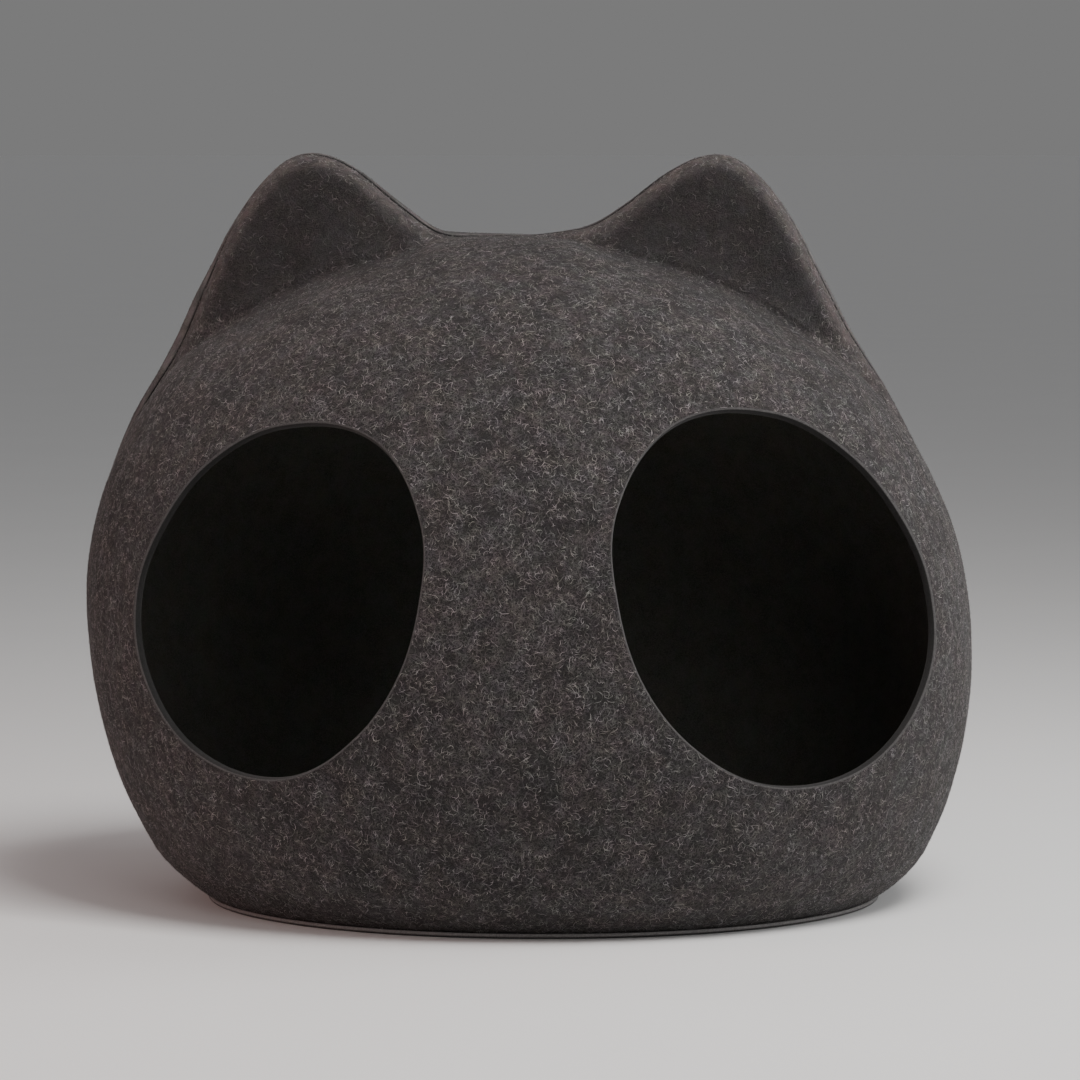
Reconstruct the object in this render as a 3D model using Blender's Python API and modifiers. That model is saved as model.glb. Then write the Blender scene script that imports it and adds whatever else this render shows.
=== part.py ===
"""Felt cat cave: two moulded felt halves, seamed together, on a flat felt base panel.

Metres, +Z up. +X runs across the width and -Y is the front, with the two oval openings.
The origin is on the floor under the middle of the cave, and the seam lies in the plane y = 0.
"""

import math

import bmesh
import bpy
from mathutils import Vector

# Felt and fit
FELT = 0.0045  # thickness of the moulded shells
BASE_FELT = 0.0025  # thickness of the base panel
PIECE_GAP = 0.0003  # space left between two pieces
BASE_PROUD = 0.0012  # how far the base panel stands out past the hem, front and back

# Body line: the seam's outline without its ears, a rounded oval cut off by the floor
HALF_WIDTH = 0.240
RISE = 0.2135  # from the widest height up to the top
DROP = 0.232  # from the widest height down to where the oval would close
WIDEST_HEIGHT = 0.146
LEAN = -0.055  # sideways drift of the body for each metre of height
OVAL_POWER = 2.1  # 2 is an ellipse, more is squarer

# Dome: how far each half stands out from the seam plane
HALF_DEPTH = 0.194
LOW_BULGE = 0.05  # share by which the dome is fuller low down than high up

# Hem: the felt turns in under the body before it meets the base panel
HEM_TUCK = 0.0125  # how far in at the floor
TUCK_HEIGHT = 0.030  # where the turn starts
TUCK_LEVELS = (0.0, 0.010, 0.020, 0.030)  # heights at which the mesh gets a row of points
HEM_SPARE = -0.006  # how far below the floor a shell is made before it is trimmed there

# Ears: hollow flat points whose faces are nearly upright
EAR_HALF_THICKNESS = 0.015
EAR_ROOT_GAIN = 0.12  # extra half thickness for each metre in from the ear's edge
EAR_EDGE_ROUND = 0.011  # width of the rounded edge round the ear
EAR_FULL = 0.030  # rise of the seam at which the crease has its softness
CREASE_DROP = 0.08  # how far the dome draws back under an ear, as a share of its fullness
CREASE_EASE = 0.06  # the softness of the crease, as a share of the dome's fullness
CREASE_REACH = 0.35  # how far in from the body line both go, as a share of the dome's fullness
LEFT_EAR_AT = 117.0  # direction of the ear's tip, in degrees from +X towards +Z
RIGHT_EAR_AT = 67.0

# Rise of the ear's edge above the body line, by degrees outward from the tip
EAR_ROWS = (
    # degrees, left ear, right ear
    (-25, 0.0000, 0.0000),
    (-19, 0.0000, 0.0025),
    (-14, 0.0034, 0.0085),
    (-10, 0.0205, 0.0227),
    (-6, 0.0463, 0.0444),
    (-3, 0.0586, 0.0573),
    (0, 0.0611, 0.0626),
    (4, 0.0544, 0.0580),
    (9, 0.0413, 0.0461),
    (16, 0.0217, 0.0276),
    (24, 0.0053, 0.0119),
    (33, 0.0000, 0.0044),
    (44, 0.0000, 0.0000),
)

# Fullness: how far the back half swells out past the seam, by direction round the seam
FULLNESS_ROWS = (
    # degrees, swell
    (20, 0.0000),
    (45, 0.0035),
    (54, 0.0028),
    (67, 0.0010),
    (77, 0.0030),
    (88, 0.0010),
    (98, 0.0020),
    (107, 0.0056),
    (117, 0.0012),
    (128, 0.0034),
    (139, 0.0070),
    (150, 0.0044),
    (165, 0.0000),
)
FULLNESS_DEPTH = 0.012  # distance behind the seam at which the swell is greatest

# Openings, seen from the front: the middle of each, and its reach every 30 degrees from +X
LEFT_EYE_MIDDLE = (-0.1280, 0.1770)
RIGHT_EYE_MIDDLE = (0.1265, 0.1770)
EYE_ROWS = (
    # degrees, left opening, right opening
    (0, 0.0721, 0.0846),
    (30, 0.0837, 0.0783),
    (60, 0.0948, 0.0819),
    (90, 0.0873, 0.0932),
    (120, 0.0772, 0.1026),
    (150, 0.0724, 0.0937),
    (180, 0.0770, 0.0807),
    (210, 0.0856, 0.0789),
    (240, 0.0939, 0.0846),
    (270, 0.0926, 0.0961),
    (300, 0.0792, 0.1023),
    (330, 0.0715, 0.0962),
)

# Fineness of the meshes
COLUMN_SPANS = (
    # from, to, number of columns: closest over the ears and at the ends of the hem
    (20, 161, 46),
    (161, 200, 6),
    (200, 226, 8),
    (226, 314, 12),
    (314, 340, 8),
    (340, 380, 6),
)
RING_ROWS = (
    # degrees up from the seam on the body, share of the ear's rise still to come
    (0.0, 1.00),
    (3.0, 0.95),
    (5.5, 0.80),
    (7.0, 0.45),
    (8.0, 0.12),
    (10.0, 0.00),
    (14.0, 0.00),
    (19.0, 0.00),
    (25.0, 0.00),
    (32.0, 0.00),
    (40.0, 0.00),
    (50.0, 0.00),
    (54.0, 0.00),
    (58.0, 0.00),
    (65.0, 0.00),
    (76.0, 0.00),
)
LEVEL_REACH = 0.001  # a point this close to a level serves as one of its row
EYE_SIDES = 48
BASE_SIDES = 72
SLOPE_STEP = 0.0005  # half the distance over which a slope is measured

# Cutting tools
SKIRT = 0.006  # how far a shell is made past the seam before it is trimmed there
TRIM_BOX = 0.8
EYE_TOOL_OUT = 0.012
EYE_TOOL_IN = 0.016
EYE_TOOL_CROWN = 0.040

FELT_COLOUR = (0.040, 0.037, 0.038, 1.0)
BASE_COLOUR = (0.060, 0.057, 0.057, 1.0)
FELT_ROUGHNESS = 0.95


def through_rows(value, rows, column):
    """Smooth curve through a table's rows; flat outside them."""
    if value <= rows[0][0] or value >= rows[-1][0]:
        return 0.0
    at = max(i for i, row in enumerate(rows) if row[0] <= value)

    def slope(i):
        if i == 0 or i == len(rows) - 1:
            return 0.0
        run = rows[i + 1][0] - rows[i - 1][0]
        return (rows[i + 1][column] - rows[i - 1][column]) / run

    span = rows[at + 1][0] - rows[at][0]
    t = (value - rows[at][0]) / span
    start = (2 * t**3 - 3 * t**2 + 1) * rows[at][column]
    end = (3 * t**2 - 2 * t**3) * rows[at + 1][column]
    leave = (t**3 - 2 * t**2 + t) * span * slope(at)
    arrive = (t**3 - t**2) * span * slope(at + 1)
    return start + end + leave + arrive


def round_rows(degrees, rows, column):
    """Smooth closed curve through evenly spaced rows that go all the way round."""
    step = 360.0 / len(rows)
    turn = (degrees % 360.0) / step
    at = int(turn)
    t = turn - at
    before, here, after, beyond = (rows[(at + k) % len(rows)][column] for k in (-1, 0, 1, 2))
    bend = 2 * before - 5 * here + 4 * after - beyond + t * (3 * (here - after) + beyond - before)
    return here + 0.5 * t * (after - before + t * bend)


def body_reach(degrees):
    """Distance from the body's middle to the body line."""
    along = math.cos(math.radians(degrees))
    up = math.sin(math.radians(degrees))
    tall = RISE if up > 0 else DROP
    across = abs((along - LEAN * up) / HALF_WIDTH)
    return (across**OVAL_POWER + abs(up / tall) ** OVAL_POWER) ** (-1 / OVAL_POWER)


def ear_rise(degrees):
    """How far an ear carries the seam out past the body line."""
    turn = degrees % 360.0
    left = through_rows(turn - LEFT_EAR_AT, EAR_ROWS, 1)
    right = through_rows(RIGHT_EAR_AT - turn, EAR_ROWS, 2)
    return left + right


def seam_reach(degrees):
    """Distance from the body's middle to the seam, ears included."""
    return body_reach(degrees) + ear_rise(degrees)


def eased(value, width):
    """Smooth step from 0 to 1 as the value goes from 0 to the width."""
    share = min(max(value / width, 0.0), 1.0)
    return share * share * (3 - 2 * share)


def dome_share(x, z):
    """Square of the dome's depth as a share of its full depth; under 0 past the body line."""
    high = z - WIDEST_HEIGHT
    tall = RISE if high > 0 else DROP
    across = abs((x - LEAN * high) / HALF_WIDTH)
    return 1 - across**OVAL_POWER - abs(high / tall) ** OVAL_POWER


def shell_depth(x, z):
    """Depth of a shell's outer face over a point of the seam plane: dome, crease and ear plate."""
    high = z - WIDEST_HEIGHT
    degrees = math.degrees(math.atan2(high, x))
    reach = seam_reach(degrees)
    turn = reach * math.radians(2.0)
    steepness = (seam_reach(degrees + 1.0) - seam_reach(degrees - 1.0)) / turn
    inside = max(reach - math.hypot(x, high), 0.0) / math.hypot(1.0, steepness)
    rounding = 1 - min(inside / EAR_EDGE_ROUND, 1.0)

    share = dome_share(x, z)
    outer = max(1 - max(share, 0.0) / CREASE_REACH, 0.0) ** 2
    crease = eased(ear_rise(degrees), EAR_FULL) * outer
    sunk = share - CREASE_DROP * crease
    ease = (math.hypot(sunk, CREASE_EASE * crease) - abs(sunk)) / 2
    full = HALF_DEPTH * (1 - LOW_BULGE * high / DROP)
    plate = EAR_HALF_THICKNESS + EAR_ROOT_GAIN * inside
    added = full**2 * ease + plate**2 * outer
    return math.sqrt(full**2 * max(sunk, 0.0) + added * (1 - rounding**2))


def front_point(x, z):
    return Vector((x, -shell_depth(x, z), z))


def front_normal(x, z):
    """Outward direction of the front shell's outer face."""
    slope_x = shell_depth(x + SLOPE_STEP, z) - shell_depth(x - SLOPE_STEP, z)
    slope_z = shell_depth(x, z + SLOPE_STEP) - shell_depth(x, z - SLOPE_STEP)
    return Vector((-slope_x, -2 * SLOPE_STEP, -slope_z)).normalized()


def turned_under(x, y, z):
    """Draws a point of the lower edge in towards the middle."""
    share = 1 - min(max(z, 0.0) / TUCK_HEIGHT, 1.0)
    scale = 1 - HEM_TUCK * share**2 / math.hypot(x, y)
    return x * scale, y * scale, z


def column_angles():
    """Directions of the mesh's columns, in degrees round the seam."""
    angles = []
    for start, end, count in COLUMN_SPANS:
        angles += [start + (end - start) * i / count for i in range(count)]
    return angles


def new_object(name, bm, collection):
    mesh = bpy.data.meshes.new(name)
    bm.to_mesh(mesh)
    bm.free()
    thing = bpy.data.objects.new(name, mesh)
    collection.objects.link(thing)
    return thing


def felt_material(name, colour):
    material = bpy.data.materials.new(name)
    material.use_nodes = True
    shader = material.node_tree.nodes["Principled BSDF"]
    shader.inputs["Base Color"].default_value = colour
    shader.inputs["Roughness"].default_value = FELT_ROUGHNESS
    shader.inputs["Metallic"].default_value = 0.0
    return material


def shell_surface(name, side, fullness, collection):
    """Open outer face of one half: rings from just past the seam up to the middle of the dome."""
    bm = bmesh.new()
    angles = column_angles()
    rings = []
    for number, (latitude, ear_share) in enumerate(RING_ROWS[:1] + RING_ROWS):
        ring = []
        for degrees in angles:
            reach = body_reach(degrees) * math.cos(math.radians(latitude))
            reach += ear_rise(degrees) * ear_share
            x = reach * math.cos(math.radians(degrees))
            z = reach * math.sin(math.radians(degrees)) + WIDEST_HEIGHT
            depth = 0.0 if number < 2 else shell_depth(x, z)
            if fullness:
                behind = depth / FULLNESS_DEPTH
                swell = through_rows(degrees % 360.0, FULLNESS_ROWS, 1)
                swell *= behind * math.exp(1 - behind)
                x += swell * math.cos(math.radians(degrees))
                z += swell * math.sin(math.radians(degrees))
            y = -side * SKIRT if number == 0 else side * depth
            ring.append(bm.verts.new((x, y, z)))
        rings.append(ring)
    pole = bm.verts.new((0.0, side * shell_depth(0.0, WIDEST_HEIGHT), WIDEST_HEIGHT))
    for low, high in zip(rings, rings[1:]):
        for i in range(len(angles)):
            j = (i + 1) % len(angles)
            bm.faces.new((low[i], low[j], high[j], high[i]))
    for i in range(len(angles)):
        bm.faces.new((rings[-1][i], rings[-1][(i + 1) % len(angles)], pole))
    if side > 0:
        bmesh.ops.reverse_faces(bm, faces=bm.faces)
    for height in (HEM_SPARE,) + TUCK_LEVELS:
        bmesh.ops.bisect_plane(
            bm,
            geom=bm.verts[:] + bm.edges[:] + bm.faces[:],
            dist=LEVEL_REACH,
            plane_co=(0.0, 0.0, height),
            plane_no=(0.0, 0.0, 1.0),
            clear_inner=height == HEM_SPARE,
        )
    for vert in bm.verts:
        vert.co = turned_under(*vert.co)
    return new_object(name, bm, collection)


def thicken(shell):
    """Gives the open face its felt thickness, inwards."""
    solid = shell.modifiers.new("felt thickness", "SOLIDIFY")
    solid.thickness = FELT
    solid.offset = -1
    solid.use_even_offset = True


def box_tool(name, low, high, collection):
    bm = bmesh.new()
    bmesh.ops.create_cube(bm, size=1.0)
    size = Vector(high) - Vector(low)
    middle = (Vector(high) + Vector(low)) / 2
    for vert in bm.verts:
        vert.co = Vector(a * b for a, b in zip(vert.co, size)) + middle
    return new_object(name, bm, collection)


def eye_tool(name, middle, column, collection):
    """Plug that cuts an opening square to the felt all the way round."""
    bm = bmesh.new()
    outer, inner = [], []
    for i in range(EYE_SIDES):
        degrees = 360.0 * i / EYE_SIDES
        reach = round_rows(degrees, EYE_ROWS, column)
        x = middle[0] + reach * math.cos(math.radians(degrees))
        z = middle[1] + reach * math.sin(math.radians(degrees))
        point, normal = front_point(x, z), front_normal(x, z)
        outer.append(bm.verts.new(point + normal * EYE_TOOL_OUT))
        inner.append(bm.verts.new(point - normal * EYE_TOOL_IN))
    point, normal = front_point(*middle), front_normal(*middle)
    crown = bm.verts.new(point + normal * EYE_TOOL_CROWN)
    foot = bm.verts.new(point - normal * EYE_TOOL_CROWN)
    for i in range(EYE_SIDES):
        j = (i + 1) % EYE_SIDES
        bm.faces.new((outer[i], outer[j], inner[j], inner[i]))
        bm.faces.new((outer[j], outer[i], crown))
        bm.faces.new((inner[i], inner[j], foot))
    bmesh.ops.recalc_face_normals(bm, faces=bm.faces)
    return new_object(name, bm, collection)


def cut(piece, tool):
    tool.hide_render = True
    tool.display_type = "WIRE"
    boolean = piece.modifiers.new(tool.name, "BOOLEAN")
    boolean.operation = "DIFFERENCE"
    boolean.solver = "EXACT"
    boolean.object = tool


def base_outline():
    """Points round the base panel: the shells' hem and a little more."""
    high = BASE_FELT + PIECE_GAP - WIDEST_HEIGHT
    half = HALF_WIDTH * (1 - abs(high / DROP) ** OVAL_POWER) ** (1 / OVAL_POWER)
    points = []
    for i in range(BASE_SIDES):
        turn = 2 * math.pi * i / BASE_SIDES
        x = LEAN * high + half * math.cos(turn)
        y = math.copysign(shell_depth(x, high + WIDEST_HEIGHT), math.sin(turn))
        x, y, _ = turned_under(x, y, high + WIDEST_HEIGHT)
        points.append((x, y + BASE_PROUD * math.sin(turn)))
    return points


def base_panel(collection):
    """Flat panel: a filled flat curve, made a mesh with welded edges."""
    outline = bpy.data.curves.new("base_outline", "CURVE")
    outline.dimensions = "2D"
    outline.fill_mode = "BOTH"
    outline.extrude = BASE_FELT / 2
    points = base_outline()
    spline = outline.splines.new("POLY")
    spline.points.add(len(points) - 1)
    spline.use_cyclic_u = True
    for spot, (x, y) in zip(spline.points, points):
        spot.co = (x, y, 0.0, 1.0)
    flat = bpy.data.objects.new("base_outline", outline)
    flat.location.z = BASE_FELT / 2
    collection.objects.link(flat)
    bpy.context.view_layer.update()
    seen = flat.evaluated_get(bpy.context.evaluated_depsgraph_get())
    mesh = bpy.data.meshes.new_from_object(seen)
    mesh.name = "base_panel"
    bm = bmesh.new()
    bm.from_mesh(mesh)
    bmesh.ops.remove_doubles(bm, verts=bm.verts, dist=0.00001)
    bm.to_mesh(mesh)
    bm.free()
    panel = bpy.data.objects.new("base_panel", mesh)
    panel.matrix_world = flat.matrix_world.copy()
    collection.objects.link(panel)
    bpy.data.objects.remove(flat)
    return panel


def smooth(piece):
    piece.data.shade_smooth()
    piece.data.set_sharp_from_angle(angle=math.radians(40))


def main():
    for old in list(bpy.data.objects):
        bpy.data.objects.remove(old)
    parts = bpy.data.collections.new("felt_cat_cave")
    tools = bpy.data.collections.new("cutting_tools")
    for collection in (parts, tools):
        bpy.context.scene.collection.children.link(collection)

    felt = felt_material("shell_felt", FELT_COLOUR)
    base_felt = felt_material("base_felt", BASE_COLOUR)

    reach = TRIM_BOX / 2
    hem = BASE_FELT + PIECE_GAP
    floor_tool = box_tool("floor_trim", (-reach, -reach, -reach), (reach, reach, hem), tools)
    front_tool = box_tool(
        "front_seam_trim", (-reach, -PIECE_GAP / 2, -reach), (reach, reach, 2 * reach), tools
    )
    back_tool = box_tool(
        "back_seam_trim", (-reach, -reach, -reach), (reach, PIECE_GAP / 2, 2 * reach), tools
    )

    front = shell_surface("front_shell", -1, False, parts)
    back = shell_surface("back_shell", 1, True, parts)
    for shell, seam_tool in ((front, front_tool), (back, back_tool)):
        shell.data.materials.append(felt)
        smooth(shell)
        thicken(shell)
        cut(shell, seam_tool)
        cut(shell, floor_tool)
    cut(front, eye_tool("left_opening", LEFT_EYE_MIDDLE, 1, tools))
    cut(front, eye_tool("right_opening", RIGHT_EYE_MIDDLE, 2, tools))

    panel = base_panel(parts)
    panel.data.materials.append(base_felt)
    smooth(panel)


main()
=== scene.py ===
"""Looks of the felt cat cave: fine felt shells, base panel, loose surface fibres, floor and light.

Metres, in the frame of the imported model: +X across, -Y to the front, +Z up.
"""

import math

import bmesh
import bpy
import numpy as np
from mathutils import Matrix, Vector, noise
from mathutils.bvhtree import BVHTree
from mathutils.geometry import delaunay_2d_cdt

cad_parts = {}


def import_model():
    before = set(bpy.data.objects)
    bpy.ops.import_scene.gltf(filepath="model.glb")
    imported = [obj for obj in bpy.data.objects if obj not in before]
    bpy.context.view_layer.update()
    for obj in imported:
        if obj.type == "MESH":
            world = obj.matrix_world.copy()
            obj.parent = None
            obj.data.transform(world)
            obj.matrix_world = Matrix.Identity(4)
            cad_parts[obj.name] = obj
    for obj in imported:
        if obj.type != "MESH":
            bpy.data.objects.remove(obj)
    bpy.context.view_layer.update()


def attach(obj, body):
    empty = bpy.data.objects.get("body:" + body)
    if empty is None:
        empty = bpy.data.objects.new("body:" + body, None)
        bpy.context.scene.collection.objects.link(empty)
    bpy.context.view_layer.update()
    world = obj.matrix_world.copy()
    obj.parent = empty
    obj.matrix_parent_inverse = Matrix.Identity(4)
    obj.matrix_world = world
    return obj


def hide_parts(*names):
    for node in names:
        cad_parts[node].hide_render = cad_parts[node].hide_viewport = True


# Felt and fit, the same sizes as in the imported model
FELT = 0.0045
BASE_FELT = 0.0025
PIECE_GAP = 0.0003
BASE_PROUD = 0.0012
HEM = BASE_FELT + PIECE_GAP

# Body line and dome
HALF_WIDTH = 0.240
RISE = 0.2135
DROP = 0.232
WIDEST_HEIGHT = 0.146
LEAN = -0.055
OVAL_POWER = 2.1
HALF_DEPTH = 0.194
LOW_BULGE = 0.05
HEM_TUCK = 0.0125
TUCK_HEIGHT = 0.030

# Ears
EAR_HALF_THICKNESS = 0.015
EAR_ROOT_GAIN = 0.12
EAR_EDGE_ROUND = 0.011
EAR_FULL = 0.030
CREASE_DROP = 0.08
CREASE_EASE = 0.06
CREASE_REACH = 0.35
LEFT_EAR_AT = 117.0
RIGHT_EAR_AT = 67.0
EAR_ROWS = (
    # degrees outward from the tip, left ear's rise, right ear's rise
    (-25, 0.0000, 0.0000),
    (-19, 0.0000, 0.0025),
    (-14, 0.0034, 0.0085),
    (-10, 0.0205, 0.0227),
    (-6, 0.0463, 0.0444),
    (-3, 0.0586, 0.0573),
    (0, 0.0611, 0.0626),
    (4, 0.0544, 0.0580),
    (9, 0.0413, 0.0461),
    (16, 0.0217, 0.0276),
    (24, 0.0053, 0.0119),
    (33, 0.0000, 0.0044),
    (44, 0.0000, 0.0000),
)

# Fullness of the back half just behind the seam
FULLNESS_ROWS = (
    # degrees round the seam, swell
    (20, 0.0000),
    (45, 0.0035),
    (54, 0.0028),
    (67, 0.0010),
    (77, 0.0030),
    (88, 0.0010),
    (98, 0.0020),
    (107, 0.0056),
    (117, 0.0012),
    (128, 0.0034),
    (139, 0.0070),
    (150, 0.0044),
    (165, 0.0000),
)
FULLNESS_DEPTH = 0.012

# Openings
EYE_MIDDLES = ((-0.1280, 0.1770), (0.1265, 0.1770))
EYE_ROWS = (
    # degrees from +X, left opening's reach, right opening's reach
    (0, 0.0721, 0.0846),
    (30, 0.0837, 0.0783),
    (60, 0.0948, 0.0819),
    (90, 0.0873, 0.0932),
    (120, 0.0772, 0.1026),
    (150, 0.0724, 0.0937),
    (180, 0.0770, 0.0807),
    (210, 0.0856, 0.0789),
    (240, 0.0939, 0.0846),
    (270, 0.0926, 0.0961),
    (300, 0.0792, 0.1023),
    (330, 0.0715, 0.0962),
)

# Mesh fineness
EAR_SPAN = (40.0, 150.0)  # degrees round the seam that get the close columns
EAR_COLUMNS = 146
OTHER_COLUMNS = 166
SEAM_STEPS = (1.0, 0.7, 0.45, 0.25, 0.1, 0.0)  # places between the seam and the first ring, as shares
RING_ROWS = (
    # degrees up from the seam, share of the ear's rise still to come, rings up to here
    (0.6, 0.99, 1),
    (3.0, 0.95, 4),
    (5.5, 0.80, 5),
    (7.0, 0.45, 5),
    (8.0, 0.12, 5),
    (10.0, 0.00, 5),
    (12.4, 0.00, 3),
)
CAP_SCALE = 0.30  # size of the flat chart in which the cap's points are spread
CAP_STEP = 0.0047  # spacing of the grid of points there
CAP_EDGE_GAP = 0.7  # gap between the grid and the last ring, as a share of the spacing
CAP_EYE_GAP = 0.6  # gap between the grid and an opening's last loop, likewise
LEVEL_SNAP = 0.0002  # a point this close to a level counts as lying on it
SEAM_SNAP = 0.6 * PIECE_GAP  # a point this close to the seam plane counts as lying on it
JOIN_SNAP = 1e-7  # points of the chart this close are one
EYE_SIDES = 220
EYE_LOOPS = (0.0022, 0.0046)  # loops of points round an opening, by distance from its cut
SLOPE_STEP = 0.0005
HEM_ROWS = (0.0036, 0.0048, 0.0075)

# Small forms of the felt
SEAM_GROOVE = 0.0009
SEAM_GROOVE_WIDTH = 0.0015
SEAM_STRIP = 0.0048
HEM_ROLL = 0.0010
HEM_ROLL_HEIGHT = 0.0020
CUT_ROUND = 0.0010
ROUND_TURNS = (30, 60)  # degrees round a rounded edge at which it has points
SHARP_ANGLE = 50  # degrees past which an edge between two faces looks sharp
ARRIS_LOOPS = 2  # steps of an opening's rounding that keep the plain cut felt; the wall beyond them is painted shade
SWELLS = (
    # size of the unevenness, its height
    (0.070, 0.0009),
    (0.024, 0.0004),
)
CALM_WIDTH = 0.012  # strip along cuts and seam that stays even
FACE_FADE = 0.15  # how far the ears' bare faces fade into the body's nap
EAR_RIM = 0.009  # width of the ears' rim, with more nap and a painted light
EAR_RIM_RISE = 0.010  # rise of the seam at which the rim has its full nap and painted light
EAR_BARENESS = 0.8  # share by which the ears' faces have less nap than the body
INSIDE_NAP = 0.5
SEAM_LINE_DEPTH = 0.0004  # how far the seam's painted shadow line reaches to the front and back
SEAM_LINE = 0.0008  # width of the painted shadow line where the back half stands out past the seam
SEAM_LINE_SHARE = 0.27  # the same as a share of how far the back half stands out
SEAM_LEAST = 0.0006  # standing out by less than this shows no painted shadow line
SEAM_LINE_REACH = 0.0030  # how far behind the seam the painted shadow line may go
SEAM_LINE_SOFT = 0.0002  # half the width over which the painted shadow line fades
SEAM_STRIP_SOFT = 0.0012  # half the width over which the smooth strip fades


def through_rows(value, rows, column):
    """Smooth curve through a table's rows, for an array; flat outside them."""
    table = np.array(rows)
    at, level = table[:, 0], table[:, column]
    slope = np.zeros(len(at))
    slope[1:-1] = (level[2:] - level[:-2]) / (at[2:] - at[:-2])
    i = np.clip(np.searchsorted(at, value, side="right") - 1, 0, len(at) - 2)
    span = at[i + 1] - at[i]
    t = np.clip((value - at[i]) / span, 0, 1)
    curve = (2 * t**3 - 3 * t**2 + 1) * level[i] + (3 * t**2 - 2 * t**3) * level[i + 1]
    curve += (t**3 - 2 * t**2 + t) * span * slope[i] + (t**3 - t**2) * span * slope[i + 1]
    return np.where((value <= at[0]) | (value >= at[-1]), 0.0, curve)


def round_rows(degrees, rows, column):
    """Smooth closed curve through evenly spaced rows, for an array."""
    level = np.array(rows)[:, column]
    count = len(level)
    turn = (degrees % 360.0) * count / 360.0
    i = turn.astype(int)
    t = turn - i
    before, here, after, beyond = (level[(i + k) % count] for k in (-1, 0, 1, 2))
    bend = 2 * before - 5 * here + 4 * after - beyond + t * (3 * (here - after) + beyond - before)
    return here + 0.5 * t * (after - before + t * bend)


def body_reach(degrees):
    along, up = np.cos(np.radians(degrees)), np.sin(np.radians(degrees))
    tall = np.where(up > 0, RISE, DROP)
    across = np.abs((along - LEAN * up) / HALF_WIDTH)
    return (across**OVAL_POWER + np.abs(up / tall) ** OVAL_POWER) ** (-1 / OVAL_POWER)


def ear_rise(degrees):
    turn = degrees % 360.0
    left = through_rows(turn - LEFT_EAR_AT, EAR_ROWS, 1)
    return left + through_rows(RIGHT_EAR_AT - turn, EAR_ROWS, 2)


def seam_reach(degrees):
    return body_reach(degrees) + ear_rise(degrees)


def rounded(turn, size):
    """Inset and depth of a point at a turn of a rounded edge, in degrees from its top."""
    return size * (1 - math.sin(math.radians(turn))), size * (1 - math.cos(math.radians(turn)))


def eased(value, width):
    """Smooth step from 0 to 1 as the value goes from 0 to the width."""
    share = np.clip(value / width, 0, 1)
    return share * share * (3 - 2 * share)


def dome_share(x, z):
    """Square of the dome's depth as a share of its full depth; under 0 past the body line."""
    high = z - WIDEST_HEIGHT
    tall = np.where(high > 0, RISE, DROP)
    across = np.abs((x - LEAN * high) / HALF_WIDTH)
    return 1 - across**OVAL_POWER - np.abs(high / tall) ** OVAL_POWER


def crease_share(x, z):
    """Nearness to the body line, softness of an ear's crease, the dome's share drawn back by it."""
    degrees = np.degrees(np.arctan2(z - WIDEST_HEIGHT, x))
    share = dome_share(x, z)
    outer = np.clip(1 - np.maximum(share, 0) / CREASE_REACH, 0, 1) ** 2
    crease = eased(ear_rise(degrees), EAR_FULL) * outer
    return outer, crease, share - CREASE_DROP * crease


def inside_seam(x, z):
    """Distance from the seam, over 0 inside it and under 0 outside."""
    high = z - WIDEST_HEIGHT
    degrees = np.degrees(np.arctan2(high, x))
    reach = seam_reach(degrees)
    turn = reach * math.radians(2.0)
    steepness = (seam_reach(degrees + 1.0) - seam_reach(degrees - 1.0)) / turn
    return (reach - np.hypot(x, high)) / np.hypot(1.0, steepness)


def shell_depth(x, z):
    """Depth of a shell's outer face over the seam plane: dome, crease and ear plate."""
    high = z - WIDEST_HEIGHT
    inside = np.maximum(inside_seam(x, z), 0)
    rounding = 1 - np.clip(inside / EAR_EDGE_ROUND, 0, 1)

    outer, crease, sunk = crease_share(x, z)
    ease = (np.hypot(sunk, CREASE_EASE * crease) - np.abs(sunk)) / 2
    full = HALF_DEPTH * (1 - LOW_BULGE * high / DROP)
    plate = EAR_HALF_THICKNESS + EAR_ROOT_GAIN * inside
    added = full**2 * ease + plate**2 * outer
    return np.sqrt(full**2 * np.maximum(sunk, 0) + added * (1 - rounding**2))


def ear_share(x, z):
    """How far a place belongs to an ear's face, 0 on the body and 1 on the ear."""
    degrees = np.degrees(np.arctan2(z - WIDEST_HEIGHT, x))
    _, _, sunk = crease_share(x, z)
    return eased(ear_rise(degrees), EAR_FULL) * (1 - eased(sunk + FACE_FADE, 2 * FACE_FADE))


def rim_share(x, z):
    """How far a place belongs to an ear's rim: fuzzier, and painted paler where its rounding catches
    the light.
    """
    degrees = np.degrees(np.arctan2(z - WIDEST_HEIGHT, x))
    return eased(ear_rise(degrees), EAR_RIM_RISE) * (1 - eased(inside_seam(x, z), EAR_RIM))


def seam_looks(points, fullness):
    """How far places belong to the seam's painted shadow line, and to the smooth strip behind it."""
    depth = np.abs(points[:, 1])
    line = 1 - eased(depth - SEAM_LINE_DEPTH + SEAM_LINE_SOFT, 2 * SEAM_LINE_SOFT)
    if not fullness:
        return line, np.zeros_like(line)
    shown = -inside_seam(points[:, 0], points[:, 2])
    degrees = np.degrees(np.arctan2(points[:, 2] - WIDEST_HEIGHT, points[:, 0])) % 360.0
    ledge = SEAM_LINE_SHARE * (through_rows(degrees, FULLNESS_ROWS, 1) - SEAM_LEAST)
    ledge = np.clip(ledge, 0, SEAM_LINE)
    beside = 1 - eased(shown - ledge + SEAM_LINE_SOFT, 2 * SEAM_LINE_SOFT)
    beside *= eased(ledge, SEAM_LINE_SOFT)
    beside *= 1 - eased(depth - SEAM_LINE_REACH, 2 * SEAM_LINE_SOFT)
    strip = 1 - eased(depth - SEAM_STRIP + SEAM_STRIP_SOFT, 2 * SEAM_STRIP_SOFT)
    return np.maximum(line, beside), strip


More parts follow.
